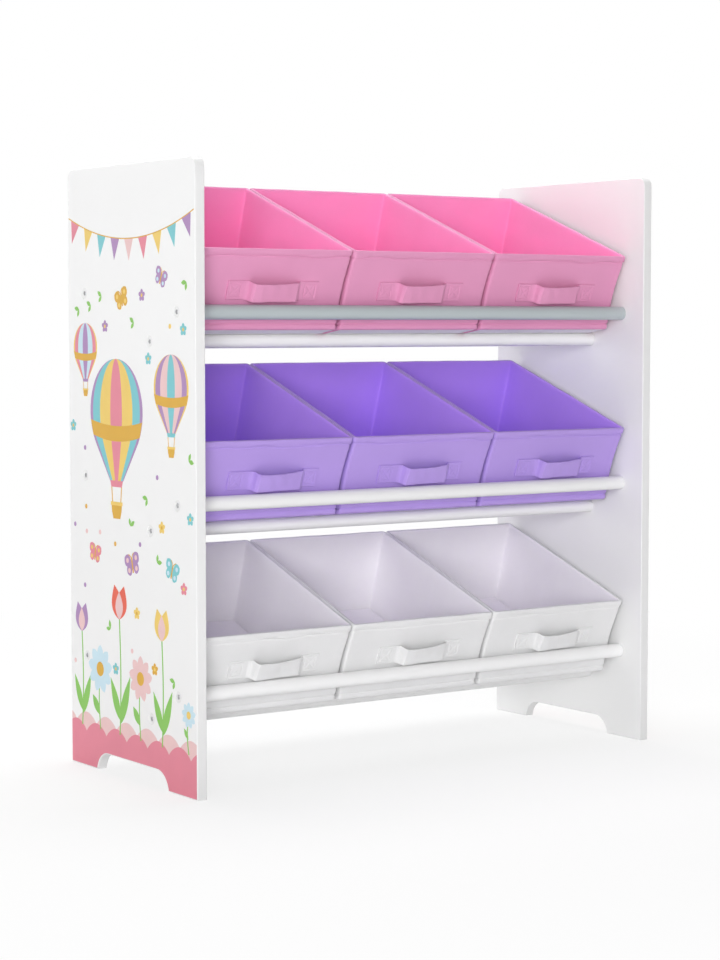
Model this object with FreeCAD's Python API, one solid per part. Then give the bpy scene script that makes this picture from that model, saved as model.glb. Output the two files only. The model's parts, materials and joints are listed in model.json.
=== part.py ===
import FreeCAD, Part
import math
import os
from FreeCAD import Placement, Rotation, Vector

# Toy bin rack: two side panels joined by round rods in three tiers, with tilted fabric bins lying on the rods.
# Millimetres. X runs to the right, Y to the rear and Z up, from the floor under the middle of the rack.

# Side panels
rack_width = 630.0
rack_depth = 276.0
rack_height = 670.0
panel_thickness = 12.0
panel_corner_radius = 10.0
panel_edge_radius = 1.2
foot_length = 60.0
arch_height = 20.0
arch_corner_radius = 24.0

# Rods: on each tier a front rod stops the bins, and a support rod and a rear rod carry them
tier_names = ("bottom", "middle", "top")
rod_diameter = 16.0
rod_end_chamfer = 0.8
bottom_front_rod_height = 104.5
top_front_rod_drop = 159.5
front_rod_setback = 38.5
support_rod_setback = 95.0
support_rod_drop = 31.0
rear_rod_inset = 37.0

# Screws: one through the panel into each rod end
screw_diameter = 7.0
screw_length = 50.0
screw_tip_length = 5.0
screw_tip_diameter = 2.0
screw_head_diameter = 12.0
screw_head_sink = 0.6
screw_socket_width = 5.0
screw_socket_depth = 2.4
screw_hole_clearance = 0.2
screw_thread_clearance = 0.05
pilot_hole_spare = 2.0

# Bins: a sewn shell of skin and lining with boards between them, lying on the rods at a slope
column_names = ("left", "centre", "right")
bin_tilt = 20.0
bin_height = 106.0
bin_gap = 2.0
bin_side_gap = 7.5
bin_rear_inset = 8.0
bin_side_draw = 0.5
bin_rear_draw = 7.0
bin_seat_gap = 0.3
flap_rise = 14.0
flap_crease_lead = 3.0
fabric_thickness = 0.7
wall_board_thickness = 1.2
board_seam_gap = 4.0
side_fold_gap = 3.0
base_board_thickness = 2.5
base_board_gap = 1.5
binding_thickness = 0.6
binding_height = 7.8

# Handles: a strap with sewn tabs, a little right of the middle, and a loop that stands off the front wall
handle_length = 115.0
handle_width = 20.0
handle_shift = 4.5
handle_rod_gap = 2.0
handle_thickness = 1.8
handle_standoff = 12.5
handle_tab_length = 21.0
handle_ramp_length = 11.0

# Ends of an outline that are this close already meet
touching_distance = 1e-6

# Derived places
inner_width = rack_width - 2 * panel_thickness
rod_radius = rod_diameter / 2
front_edge = -rack_depth / 2
rear_edge = rack_depth / 2
tier_pitch = (rack_height - top_front_rod_drop - bottom_front_rod_height) / (len(tier_names) - 1)
tilt = math.radians(bin_tilt)
rod_span = rack_depth - rear_rod_inset - support_rod_setback
rear_rod_rise = rod_span * math.tan(tilt) - support_rod_drop

# A tier's rods as Y and Z, with Z measured from the tier's front rod
rod_places = {
    "front": (front_edge + front_rod_setback, 0.0),
    "support": (front_edge + support_rod_setback, -support_rod_drop),
    "rear": (rear_edge - rear_rod_inset, rear_rod_rise),
}

# A bin's own frame: x to the right, u along its base to the rear and h up from its base.
# Its origin is on the base, over the middle of the support rod.
seat_lift = rod_radius + bin_seat_gap
seat_y = rod_places["support"][0] - seat_lift * math.sin(tilt)
seat_rise = rod_places["support"][1] + seat_lift * math.cos(tilt)
front_rod_dy = rod_places["front"][0] - seat_y
front_rod_u = front_rod_dy * math.cos(tilt) - seat_rise * math.sin(tilt)
front_rod_h = -front_rod_dy * math.sin(tilt) - seat_rise * math.cos(tilt)
front_u = front_rod_u + rod_radius + bin_seat_gap
rear_base_u = (rear_edge - bin_rear_inset - seat_y) / math.cos(tilt)
bin_rim_width = (inner_width - 2 * bin_side_gap - (len(column_names) - 1) * bin_gap) / len(column_names)
bin_pitch = bin_rim_width + bin_gap
rim_half_width = bin_rim_width / 2 - binding_thickness
base_half_width = rim_half_width - bin_side_draw
wall_thickness = 2 * fabric_thickness + wall_board_thickness
base_thickness = 2 * fabric_thickness


def tier_height(tier):
    return bottom_front_rod_height + tier * tier_pitch


def all_rods():
    # Every rod as tier name, rod name, Y and Z
    for tier, tier_name in enumerate(tier_names):
        for rod_name, (y, rise) in rod_places.items():
            yield tier_name, rod_name, y, tier_height(tier) + rise


def save(node, *solids):
    shape = solids[0] if len(solids) == 1 else Part.makeCompound(solids)
    shape.exportStep("parts/" + node + ".step")


def arc(centre, radius, start, end):
    # Arc in the YZ plane from one angle to another, in radians from +Y
    def point(angle):
        return centre + Vector(0, radius * math.cos(angle), radius * math.sin(angle))

    return Part.Arc(point(start), point((start + end) / 2), point(end)).toShape()


def joined(edges):
    # Closed wire through edges given in order, with straight lines across the gaps between them
    chain = []
    for edge, following in zip(edges, edges[1:] + edges[:1]):
        chain.append(edge)
        tail = edge.valueAt(edge.LastParameter)
        head = following.valueAt(following.FirstParameter)
        if tail.distanceToPoint(head) > touching_distance:
            chain.append(Part.makeLine(tail, head))
    return Part.Wire(chain)


def screw_axis(side):
    # Direction from the outer face of a panel into the rack: +X on the left, -X on the right
    return Vector(-side, 0, 0)


def screw_blank(side, y, z, radius, depth, head_rise):
    # Countersunk form about a rod's axis: a cone at the head's angle, and a cylinder that goes in to a depth
    axis = screw_axis(side)
    head_radius = screw_head_diameter / 2
    head_top = Vector(side * (rack_width / 2 - screw_head_sink), y, z)
    cone_height = head_radius + head_rise - radius
    cone = Part.makeCone(head_radius + head_rise, radius, cone_height, head_top - axis * head_rise, axis)
    return cone.fuse(Part.makeCylinder(radius, depth, head_top, axis))


def side_panel(side):
    corner = panel_corner_radius
    arch_drop = arch_height - arch_corner_radius
    arch_end = math.asin(-arch_drop / arch_corner_radius)
    arch_reach = arch_corner_radius * math.cos(arch_end)
    arch_front = front_edge + foot_length + arch_reach
    arch_rear = rear_edge - foot_length - arch_reach
    quarter = math.pi / 2
    outer = side * rack_width / 2
    foot_front = Vector(outer, front_edge, 0)
    foot_rear = Vector(outer, rear_edge, 0)
    top = rack_height - corner
    outline = joined([
        Part.makeLine(foot_rear, Vector(outer, rear_edge, top)),
        arc(Vector(outer, rear_edge - corner, top), corner, 0, quarter),
        arc(Vector(outer, front_edge + corner, top), corner, quarter, 2 * quarter),
        Part.makeLine(Vector(outer, front_edge, top), foot_front),
        arc(Vector(outer, arch_front, arch_drop), arch_corner_radius, math.pi - arch_end, quarter),
        arc(Vector(outer, arch_rear, arch_drop), arch_corner_radius, quarter, arch_end),
    ])
    board = Part.Face(outline).extrude(screw_axis(side) * panel_thickness)
    rims = [edge for edge in board.Edges if edge.BoundBox.XLength < panel_thickness / 2]
    board = board.makeFillet(panel_edge_radius, rims)
    hole_radius = screw_diameter / 2 + screw_hole_clearance
    holes = [
        screw_blank(side, y, z, hole_radius, 2 * panel_thickness, 2 * screw_head_sink)
        for tier_name, rod_name, y, z in all_rods()
    ]
    return board.cut(holes)


def rod(y, z):
    pilot_depth = screw_length + screw_head_sink - panel_thickness + pilot_hole_spare
    pilot_radius = screw_diameter / 2 + screw_thread_clearance
    start = Vector(-inner_width / 2, y, z)
    end = Vector(inner_width / 2, y, z)
    along = Vector(1, 0, 0)
    body = Part.makeCylinder(rod_radius, inner_width, start, along)
    body = body.makeChamfer(rod_end_chamfer, [edge for edge in body.Edges if edge.Closed])
    pilots = [
        Part.makeCylinder(pilot_radius, pilot_depth, start, along),
        Part.makeCylinder(pilot_radius, pilot_depth, end, -along),
    ]
    return body.cut(pilots)


def screw(side, y, z):
    axis = screw_axis(side)
    radius = screw_diameter / 2
    head_top = Vector(side * (rack_width / 2 - screw_head_sink), y, z)
    shank = screw_blank(side, y, z, radius, screw_length - screw_tip_length, 0.0)
    tip_start = head_top + axis * (screw_length - screw_tip_length)
    tip = Part.makeCone(radius, screw_tip_diameter / 2, screw_tip_length, tip_start, axis)
    socket_radius = screw_socket_width / math.sqrt(3)
    corners = []
    for corner in range(6):
        angle = math.radians(60 * corner)
        corners.append(head_top + Vector(0, socket_radius * math.cos(angle), socket_radius * math.sin(angle)))
    socket = prism(corners, axis * screw_socket_depth)
    return shank.fuse(tip).cut(socket).removeSplitter()


def prism(corners, reach):
    return Part.Face(Part.makePolygon(corners + corners[:1])).extrude(reach)


def inset_outline(corners, insets):
    # Convex outline, anticlockwise, with the side after each corner moved inward by its inset
    lines = []
    for (ax, ay), (bx, by), inset in zip(corners, corners[1:] + corners[:1], insets):
        length = math.hypot(bx - ax, by - ay)
        normal = ((ay - by) / length, (bx - ax) / length)
        lines.append((normal, normal[0] * ax + normal[1] * ay + inset))
    moved = []
    for ((px, py), p), ((qx, qy), q) in zip(lines[-1:] + lines[:-1], lines):
        cross = px * qy - py * qx
        moved.append(((p * qy - q * py) / cross, (q * px - p * qx) / cross))
    return moved


def bin_side_prism(wall, base, top):
    # The bin's outline seen from the side, run across the whole bin, each side moved inward by its inset
    corners = [
        (front_u, bin_height),
        (front_u, flap_rise),
        (-flap_crease_lead, 0.0),
        (rear_base_u, 0.0),
        (rear_base_u + bin_rear_draw, bin_height),
    ]
    outline = inset_outline(corners, [wall, wall, base, wall, top])
    return prism([Vector(-bin_rim_width, u, h) for u, h in outline], Vector(2 * bin_rim_width, 0, 0))


def bin_block(wall, base, top):
    # The bin's outer form as one solid, moved inward at its walls, base and top
    corners = [
        (-rim_half_width, bin_height),
        (-base_half_width, 0.0),
        (base_half_width, 0.0),
        (rim_half_width, bin_height),
    ]
    outline = inset_outline(corners, [wall, base, wall, top])
    span = 2 * rack_depth
    across = prism([Vector(x, -span / 2, h) for x, h in outline], Vector(0, span, 0))
    return bin_side_prism(wall, base, top).common(across)


def slab(half_width, start, end, low, high):
    # Upright block across the middle of the bin, from start to end along u and from low to high
    return Part.makeBox(2 * half_width, end - start, high - low, Vector(-half_width, start, low))


def bin_boards():
    # Boards that stiffen the front, the upturned flap, the rear and the two sides, which fold at their middle
    lined = fabric_thickness + wall_board_thickness
    ring = bin_block(fabric_thickness, base_thickness, 0.0).cut(bin_block(lined, base_thickness, 0.0))
    half = base_half_width - wall_thickness - board_seam_gap
    flap_slope = math.atan2(flap_rise, -flap_crease_lead - front_u)
    fold = flap_rise + lined * (1 - math.sin(flap_slope)) / math.cos(flap_slope)
    front_end = front_u + lined
    flap_end = -flap_crease_lead - board_seam_gap
    rear_start = rear_base_u - wall_thickness - board_seam_gap
    rear_end = rear_base_u + bin_rear_draw
    low = base_thickness + board_seam_gap
    front = ring.common(slab(half, front_u, front_end, fold, bin_height))
    flap = ring.common(slab(half, front_u, flap_end, base_thickness, fold))
    rear = ring.common(slab(half, rear_start, rear_end, low, bin_height))
    fold_start = (front_u + rear_base_u - side_fold_gap) / 2
    fold_gap = slab(bin_rim_width, fold_start, fold_start + side_fold_gap, 0.0, bin_height)
    sides = ring.common(bin_side_prism(wall_thickness + board_seam_gap, low, 0.0)).cut(fold_gap)
    return front.Solids + flap.Solids + rear.Solids + sides.Solids


def bin_shell(boards):
    # Skin and lining, open at the top, with slots for the boards between them
    hollow = bin_block(wall_thickness, base_thickness, -bin_height)
    return bin_block(0.0, 0.0, 0.0).cut(hollow).cut(boards)


def bin_base():
    # Loose board on the flat part of the floor
    gap = wall_thickness + base_board_gap
    plate = bin_block(gap, base_thickness, bin_height - base_thickness - base_board_thickness)
    return plate.common(slab(rim_half_width, base_board_gap, rear_base_u, 0.0, bin_height))


def bin_binding():
    # Tape folded over the rim, outside and inside
    tape = binding_thickness
    low = bin_height - binding_height
    folded = bin_block(-tape, 0.0, -tape).cut(bin_block(wall_thickness + tape, 0.0, -bin_height))
    wall = bin_block(0.0, 0.0, 0.0).cut(bin_block(wall_thickness, 0.0, -bin_height))
    band = slab(bin_rim_width, front_u - bin_height, rear_base_u + bin_height, low, bin_height + tape)
    return folded.common(band).cut(wall)


def bin_handle():
    # Strap just above the front rod: flat tabs on the front wall, and a loop between them, bent at each end
    half = handle_length / 2
    rise = handle_standoff - handle_thickness
    turn = 2 * math.atan2(rise, handle_ramp_length)
    radius = handle_ramp_length / (2 * math.sin(turn))
    reach = handle_thickness / 2
    foot_x = half - handle_tab_length
    crown_x = foot_x - handle_ramp_length
    low = front_rod_h + rod_radius + handle_rod_gap

    def at(x, standoff):
        return Vector(x + handle_shift, front_u - standoff, low)

    def bend(x, standoff, bend_radius, start, end):
        points = []
        for angle in (start, (start + end) / 2, end):
            points.append(at(x + bend_radius * math.cos(angle), standoff + bend_radius * math.sin(angle)))
        return Part.Arc(*points).toShape()

    foot_n = reach + radius
    crown_n = reach + rise - radius
    quarter = math.pi / 2
    inner = radius - reach
    outer = radius + reach
    edges = [
        Part.makeLine(at(half, 0.0), at(half, handle_thickness)),
        bend(foot_x, foot_n, inner, -quarter, -quarter - turn),
        bend(crown_x, crown_n, outer, quarter - turn, quarter),
        bend(-crown_x, crown_n, outer, quarter, quarter + turn),
        bend(-foot_x, foot_n, inner, -quarter + turn, -quarter),
        Part.makeLine(at(-half, handle_thickness), at(-half, 0.0)),
        bend(-foot_x, foot_n, outer, -quarter, -quarter + turn),
        bend(-crown_x, crown_n, inner, quarter + turn, quarter),
        bend(crown_x, crown_n, inner, quarter, quarter - turn),
        bend(foot_x, foot_n, outer, -quarter - turn, -quarter),
    ]
    return Part.Face(joined(edges)).extrude(Vector(0, 0, handle_width))


def placed(shape, tier, column):
    x = (column - (len(column_names) - 1) / 2) * bin_pitch
    seat = Vector(x, seat_y, tier_height(tier) + seat_rise)
    copy = shape.copy()
    copy.Placement = Placement(seat, Rotation(Vector(1, 0, 0), bin_tilt))
    return copy


def main():
    os.makedirs("parts", exist_ok=True)

    for side, name in ((-1, "left"), (1, "right")):
        save("side_panel_" + name, side_panel(side))
        save("rod_screws_" + name, *[screw(side, y, z) for tier_name, rod_name, y, z in all_rods()])

    for tier_name, rod_name, y, z in all_rods():
        save(rod_name + "_rod_" + tier_name, rod(y, z))

    boards = bin_boards()
    pieces = {
        "shell": [bin_shell(boards)],
        "boards": boards,
        "base": [bin_base()],
        "binding": [bin_binding()],
        "handle": [bin_handle()],
    }
    for tier, tier_name in enumerate(tier_names):
        for column, column_name in enumerate(column_names):
            for piece, solids in pieces.items():
                node = "bin_" + tier_name + "_" + column_name + "_" + piece
                save(node, *[placed(solid, tier, column) for solid in solids])


main()
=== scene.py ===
import json
import math
import random

import bpy
import numpy as np
from mathutils.geometry import tessellate_polygon
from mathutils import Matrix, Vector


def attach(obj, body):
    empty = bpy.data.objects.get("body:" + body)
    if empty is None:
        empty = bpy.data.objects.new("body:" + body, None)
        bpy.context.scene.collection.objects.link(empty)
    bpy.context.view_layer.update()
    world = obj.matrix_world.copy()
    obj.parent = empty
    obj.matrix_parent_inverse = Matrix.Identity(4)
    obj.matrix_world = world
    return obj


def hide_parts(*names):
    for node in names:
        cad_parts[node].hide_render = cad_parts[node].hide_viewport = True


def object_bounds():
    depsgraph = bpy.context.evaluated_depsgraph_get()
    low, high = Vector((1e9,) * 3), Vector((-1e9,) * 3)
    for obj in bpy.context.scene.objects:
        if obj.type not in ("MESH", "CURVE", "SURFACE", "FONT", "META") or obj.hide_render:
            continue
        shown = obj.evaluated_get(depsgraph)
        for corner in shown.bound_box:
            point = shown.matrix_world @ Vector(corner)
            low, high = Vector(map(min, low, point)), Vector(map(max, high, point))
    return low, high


# Toy bin rack: white side panels with a printed picture, painted rods and nine sewn cloth bins
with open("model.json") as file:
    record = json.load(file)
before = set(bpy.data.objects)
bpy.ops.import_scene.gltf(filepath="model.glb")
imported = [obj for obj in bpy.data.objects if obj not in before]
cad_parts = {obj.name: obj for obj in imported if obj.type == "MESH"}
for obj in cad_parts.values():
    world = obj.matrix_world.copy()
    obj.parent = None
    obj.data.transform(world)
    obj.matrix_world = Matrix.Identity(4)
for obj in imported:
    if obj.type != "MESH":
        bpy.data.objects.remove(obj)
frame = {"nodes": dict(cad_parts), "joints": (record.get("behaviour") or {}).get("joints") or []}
cadLow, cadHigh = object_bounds()
nodes = frame["nodes"]
scene = bpy.context.scene
mm = 0.001
hair = 0.05 * mm  # points closer than this lie on the same face
tierNames = ("bottom", "middle", "top")
columnNames = ("left", "centre", "right")
print("frame loaded:", len(nodes), "nodes")


class Wire:  # one socket of a finish; sums on wires become Math nodes
    def __init__(self, tree, socket=None):
        self.tree = tree
        self.socket = socket

    def node(self, kind, settings=(), inputs=(), output=0):
        made = self.tree.nodes.new("ShaderNode" + kind)
        for name, value in dict(settings).items():
            setattr(made, name, value)
        for name, value in dict(inputs).items():
            if isinstance(value, Wire):
                self.tree.links.new(value.socket, made.inputs[name])
            elif made.inputs[name].type == "RGBA":
                made.inputs[name].default_value = (*value, 1)
            else:
                made.inputs[name].default_value = value
        return Wire(self.tree, made.outputs[output] if made.outputs else None)

    def noise(self, place, scale, detail, **more):
        return self.node("TexNoise", (), {"Vector": place, "Scale": scale, "Detail": detail, **more})

    def pick(self, output):
        return Wire(self.tree, self.socket.node.outputs[output])

    def math(self, operation, other=0.0):
        return self.node("Math", {"operation": operation}, {0: self, 1: other})

    def step(self, low, high):  # rises smoothly from 0 at low to 1 at high
        return self.node("MapRange", {"interpolation_type": "SMOOTHSTEP"},
                         {"Value": self, "From Min": low, "From Max": high})

    def tint(self, dark, light):  # a colour from dark, where the wire is 0, to light, where it is 1
        return self.node("Mix", {"data_type": "RGBA"}, {0: self, 6: dark, 7: light}, output=2)

    def __add__(self, other):
        return self.math("ADD", other)

    def __sub__(self, other):
        return self.math("SUBTRACT", other)

    def __mul__(self, other):
        return self.math("MULTIPLY", other)

    __radd__, __rmul__ = __add__, __mul__


def newFinish(name):
    material = bpy.data.materials.new(name)
    material.use_nodes = True
    material.node_tree.nodes.clear()
    return material, Wire(material.node_tree)


def closeFinish(wire, inputs):
    shader = wire.node("BsdfPrincipled", (), inputs)
    wire.node("OutputMaterial", (), {"Surface": shader})


def shades(colour, amounts):  # a finish's darkest and lightest tones
    return [tuple(min(1.0, part * amount) for part in colour) for amount in amounts]


# Paint on boards, rods and screw heads: a sprayed coat with a slight orange peel
panelPaint = {
    "colour": (0.885, 0.885, 0.885),  # on faces to the left and right
    "paintedShadeColour": (0.785, 0.785, 0.785),  # painted shade on all other faces
    "paintedShadeTurn": (0.5, 0.9),  # between the two, by how far a face looks to the left or right
    "shades": (0.985, 1.015),
    "cloudScale": 14,
    "peelScale": 620,
    "peelDepth": 0.02 * mm,
    "peelBump": 0.5,
    "stretch": (1, 1, 1),
    "roughness": 0.4,
    "peelRoughness": 0.1,
    "cloudRoughness": 0.08,
}
rodPaint = {
    **panelPaint,
    "colour": (0.83, 0.83, 0.83),
    "paintedShadeColour": (0.83, 0.83, 0.83),
    "shades": (0.98, 1.02),
    "peelScale": 380,
    "peelDepth": 0.025 * mm,
    "stretch": (0.08, 1, 1),
    "roughness": 0.34,
}
# painted shade: the top front rod takes a darker, bluish grey copy of the rod paint
shadedTopRodPaint = {**rodPaint, "colour": (0.435, 0.485, 0.5), "paintedShadeColour": (0.435, 0.485, 0.5)}
# painted light: the bottom front rod takes a lighter copy of the rod paint, for light bounced up from the
# floor
litLowRodPaint = {**rodPaint, "colour": (0.91, 0.91, 0.91), "paintedShadeColour": (0.91, 0.91, 0.91)}
screwPaint = {
    **panelPaint,
    "colour": (0.8, 0.8, 0.8),
    "paintedShadeColour": (0.48, 0.48, 0.49),  # painted shade on the walls of the sockets
    "peelScale": 1500,
    "roughness": 0.32,
}


def paintFinish(name, look):
    material, wire = newFinish(name)
    place = wire.node("TexCoord", output="Object")
    place = wire.node("VectorMath", {"operation": "MULTIPLY"}, {0: place, 1: look["stretch"]})
    cloud = wire.noise(place, look["cloudScale"], 3)
    peel = wire.noise(place, look["peelScale"], 2)
    bump = wire.node("Bump", (), {"Strength": look["peelBump"], "Distance": look["peelDepth"],
                                  "Height": peel})
    # painted shade: faces that don't look to the left or right take the darker colour
    facing = wire.node("SeparateXYZ", (), {0: wire.node("TexCoord", output="Normal")})
    flat = facing.math("ABSOLUTE").step(*look["paintedShadeTurn"])
    onFlat, paintedShadeTone = (cloud.tint(*shades(look[part], look["shades"])) for part in ("colour", "paintedShadeColour"))
    rough = look["roughness"] + look["peelRoughness"] * (peel - 0.5)
    closeFinish(wire, {
        "Base Color": flat.tint(paintedShadeTone, onFlat),
        "Roughness": rough + look["cloudRoughness"] * (cloud - 0.5),
        "Normal": bump,
    })
    return material


# Spun cloth of the bins: pressed bonding dots in rows, loose fibres between them
clothLook = {
    "dotPitch": 1.7 * mm,
    "dotEdge": (0.3, 0.85),
    "dotDepth": 0.06 * mm,
    "fibreScale": 900,
    "fibreDepth": 0.05 * mm,
    "cloudScale": 24,
    "bump": 0.6,
    "tones": (0.1, 0.45, 0.45, 0.12),  # plain, and what clouds, fibres and dots add or take
    "shades": (0.9, 1.1),
    "roughness": 0.78,
    "fibreRoughness": 0.14,
    "dotRoughness": 0.16,
    "sheen": 0.12,
    "sheenRoughness": 0.5,
}
clothColours = {
    "top": (0.714, 0.291, 0.485),
    "middle": (0.427, 0.292, 0.715),
    "bottom": (0.772, 0.772, 0.776),
}
# painted light: the insides take brighter, more saturated copies of the cloth colours, for light bounced
# round inside the bins; the white bins' lilac tint is light bounced down from the purple bins
paintedLightLiningColours = {
    "top": (0.975, 0.322, 0.605),
    "middle": (0.495, 0.28, 0.97),
    "bottom": (0.955, 0.905, 0.99),
}
# painted light: the top bins' undersides are near white, standing in for the bright backdrop seen between
# the bins and the rod below; the other tiers keep their cloth colour
underClothAndPaintedLight = {**clothColours, "top": (0.86, 0.84, 0.85)}
clothNames = {"top": "pink", "middle": "purple", "bottom": "white"}


def clothFinish(name, colour, look):
    material, wire = newFinish(name)
    place = wire.node("UVMap", {"uv_map": "cloth"})  # metres along the cloth
    turns = 2 * math.pi / look["dotPitch"]
    across = wire.node("SeparateXYZ", (), {0: place})
    rows = (across * turns).math("COSINE") * (across.pick("Y") * turns).math("COSINE")
    dots = rows.step(*look["dotEdge"])
    body = wire.node("TexCoord", output="Object")
    fibre = wire.noise(body, look["fibreScale"], 4, Roughness=0.65, Distortion=1.6)
    cloud = wire.noise(body, look["cloudScale"], 4)
    plain, clouds, fibres, dips = look["tones"]
    tone = clouds * cloud + fibres * fibre - dips * dots + plain
    height = fibre * look["fibreDepth"] - dots * look["dotDepth"]
    bump = wire.node("Bump", (), {"Strength": look["bump"], "Distance": 1.0, "Height": height})
    rough = look["roughness"] + look["fibreRoughness"] * (fibre - 0.5)
    closeFinish(wire, {
        "Base Color": tone.tint(*shades(colour, look["shades"])),
        "Roughness": rough - look["dotRoughness"] * dots,
        "Normal": bump,
        "Sheen Weight": look["sheen"],
        "Sheen Roughness": look["sheenRoughness"],
    })
    return material


threadLook = {"twistScale": 2600, "shades": (0.9288, 1.1448), "roughness": 0.55, "twistRoughness": 0.2}


def threadFinish(name, colour, look):
    material, wire = newFinish(name)
    place = wire.node("TexCoord", output="Object")
    twist = wire.noise(place, look["twistScale"], 2)
    closeFinish(wire, {
        "Base Color": twist.tint(*shades(colour, look["shades"])),
        "Roughness": look["roughness"] + look["twistRoughness"] * (twist - 0.5),
    })
    return material


# Printing inks, thin and matt
inkLook = {
    "grainScale": 1800,
    "washScale": 45,
    "wash": 0.6,  # share of the tone, the rest is grain
    "shades": (0.93, 1.07),
    "roughness": 0.45,
    "grainRoughness": 0.1,
    "gloss": 0.2,
}
inkColours = {
    "rose": (0.78, 0.255, 0.33),
    "blush": (0.84, 0.58, 0.58),
    "gold": (0.73, 0.42, 0.055),
    "butter": (0.87, 0.62, 0.16),
    "teal": (0.21, 0.58, 0.63),
    "sky": (0.6, 0.78, 0.87),
    "lilac": (0.43, 0.26, 0.5),
    "coral": (0.8, 0.14, 0.09),
    "leaf": (0.26, 0.57, 0.12),
}


def inkFinish(name, colour, look):
    material, wire = newFinish(name)
    place = wire.node("TexCoord", output="Object")
    grain = wire.noise(place, look["grainScale"], 2)
    wash = wire.noise(place, look["washScale"], 3)
    tone = look["wash"] * wash + (1 - look["wash"]) * grain
    closeFinish(wire, {
        "Base Color": tone.tint(*shades(colour, look["shades"])),
        "Roughness": look["roughness"] + look["grainRoughness"] * (grain - 0.5),
        "Specular IOR Level": look["gloss"],
    })
    return material


frontRodFinishes = {"top": "shadedTopRod", "middle": "rod", "bottom": "litLowRod"}
finishes = {
    "panel": paintFinish("panel paint", panelPaint),
    "rod": paintFinish("rod paint", rodPaint),
    "shadedTopRod": paintFinish("top rod painted shade", shadedTopRodPaint),
    "litLowRod": paintFinish("low rod painted light", litLowRodPaint),
    "screw": paintFinish("screw paint", screwPaint),
}
for tier in tierNames:
    finishes["cloth " + tier] = clothFinish(clothNames[tier] + " cloth", clothColours[tier], clothLook)
    finishes["lining " + tier] = clothFinish(clothNames[tier] + " lining", paintedLightLiningColours[tier], clothLook)
    finishes["under " + tier] = clothFinish(clothNames[tier] + " bin base", underClothAndPaintedLight[tier], clothLook)
    finishes["thread " + tier] = threadFinish(clothNames[tier] + " thread", clothColours[tier], threadLook)
for ink, colour in inkColours.items():
    finishes["ink " + ink] = inkFinish(ink + " ink", colour, inkLook)
print("finishes made:", len(finishes))


def dressNode(name, finish):
    nodes[name].data.materials.clear()
    nodes[name].data.materials.append(finishes[finish])


for side in ("left", "right"):
    dressNode("side_panel_" + side, "panel")
    dressNode("rod_screws_" + side, "screw")
for tier in tierNames:
    dressNode("front_rod_" + tier, frontRodFinishes[tier])
    dressNode("support_rod_" + tier, "rod")
    dressNode("rear_rod_" + tier, "rod")
print("rack painted")


def makePiece(name, points, faces, inks, body, slot=None, replaced=(), uvs=None, inkOf=None, crease=40):
    mesh = bpy.data.meshes.new(name)
    mesh.from_pydata([tuple(point) for point in points], [], faces)
    for ink in inks:
        mesh.materials.append(finishes[ink])
    if inkOf is not None:
        mesh.polygons.foreach_set("material_index", inkOf)
    if uvs is not None:
        mesh.uv_layers.new(name="cloth").uv.foreach_set("vector", np.asarray(uvs, np.float32).ravel())
    mesh.polygons.foreach_set("use_smooth", [True] * len(mesh.polygons))
    mesh.set_sharp_from_angle(angle=math.radians(crease))
    mesh.validate()
    piece = bpy.data.objects.new(name, mesh)
    scene.collection.objects.link(piece)
    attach(piece, body)
    if replaced:
        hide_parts(*replaced)


# Printed picture on each panel's outer face: flat shapes of ink, each a thin closed plate.
# Millimetres from the middle of the panel towards its front, and up from the floor.
printLook = {
    "proud": 0.06,
    "layer": 0.03,  # from one layer to the next
    "sunk": 0.02,
    "scatter": 34,  # number of small motifs
    "seed": 12,
    "room": 26,  # around a small motif
    "screwRoom": 10.0,
    "bigRoom": 12,  # around tulips and balloons
    "smallRoom": 8,  # around daisies, butterflies and inside the panel's edge
    "stalkRoom": (30, 14),  # how far below a flower, and around that point
    "flagRoom": 38,
}
garden = {
    "band": (("blush", 0, 50.0), ("rose", 1, 40.0)),  # ink, layer and height of each scalloped band
    "scallops": 6,
    "scallopRise": 11.5,
    "stalkFoot": 46,
    "leafFoot": (58, 62),
    # place, size, for butterflies a turn, and inks
    "tulips": ((-112, 152, 20, "lilac"), (-26, 174, 23, "coral"), (66, 160, 21, "butter")),
    "daisies": ((-70, 114, 27, "sky", "gold"), (20, 114, 25, "blush", "gold"),
                (121, 88, 14, "sky", "butter")),
    "balloons": ((-30, 402, 58, ("rose", "butter", "teal", "lilac")),
                 (88, 430, 36, ("teal", "blush", "lilac", "butter")),
                 (-99, 472, 27, ("lilac", "sky", "rose", "butter"))),
    "butterflies": ((4, 236, 19, 14, "lilac", "blush"), (88, 236, 17, -18, "teal", "sky"),
                    (-80, 242, 16, -10, "rose", "butter"), (-16, 524, 17, 20, "gold", "butter"),
                    (68, 546, 15, -24, "lilac", "sky")),
    "bunting": (616, 26, 9),  # height at its ends, sag and number of flags
    "flag": (9.5, 24),  # half width and length
    "flagInks": ("rose", "butter", "teal", "lilac", "blush"),
    "scatterLow": 105,
    "scatterInks": ("rose", "gold", "lilac", "teal", "blush", "butter"),
    "dot": 2.7,
    "sprig": ((10.5, 2.5, 0), (9, 2.2, 75)),  # length, half width and turn of each leaf
    "blossom": (7, 2.5, 2),  # length and half width of a petal, and radius of the heart
}


def pointsOf(*parts):
    return np.stack(parts, axis=1)


def turned(outline, turn):
    c, s = math.cos(math.radians(turn)), math.sin(math.radians(turn))
    return np.asarray(outline) @ np.array([[c, s], [-s, c]])


def oval(a, z, wide, tall, turn=0, sides=26):
    angles = np.linspace(0, 2 * math.pi, sides, endpoint=False)
    return turned(pointsOf(wide * np.cos(angles), tall * np.sin(angles)), turn) + (a, z)


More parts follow.
